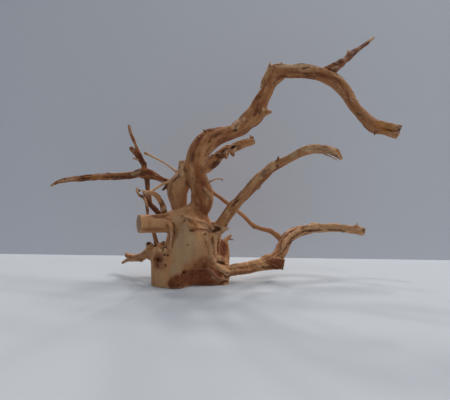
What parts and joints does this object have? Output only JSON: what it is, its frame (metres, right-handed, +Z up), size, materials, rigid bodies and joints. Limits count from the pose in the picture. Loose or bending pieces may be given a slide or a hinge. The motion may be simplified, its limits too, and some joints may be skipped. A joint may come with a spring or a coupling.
{
  "type": "red moor wood root",
  "caption": "Debarked root wood with a sawn flat foot, a sawn stub, a long arching limb and thin branching rootlets.",
  "frame": {"origin": "middle of the sawn flat underside, on the surface the root stands on", "axes": "+Z up, +X along the long main limb, -Y towards the viewer of the picture"},
  "size_m": [0.4376, 0.128, 0.3086],
  "materials": {
    "debarked_wood": "bare dry wood, almost dull"
  },
  "bodies": {
    "root": {"moor_wood_root": "debarked_wood"}
  },
  "joints": []
}
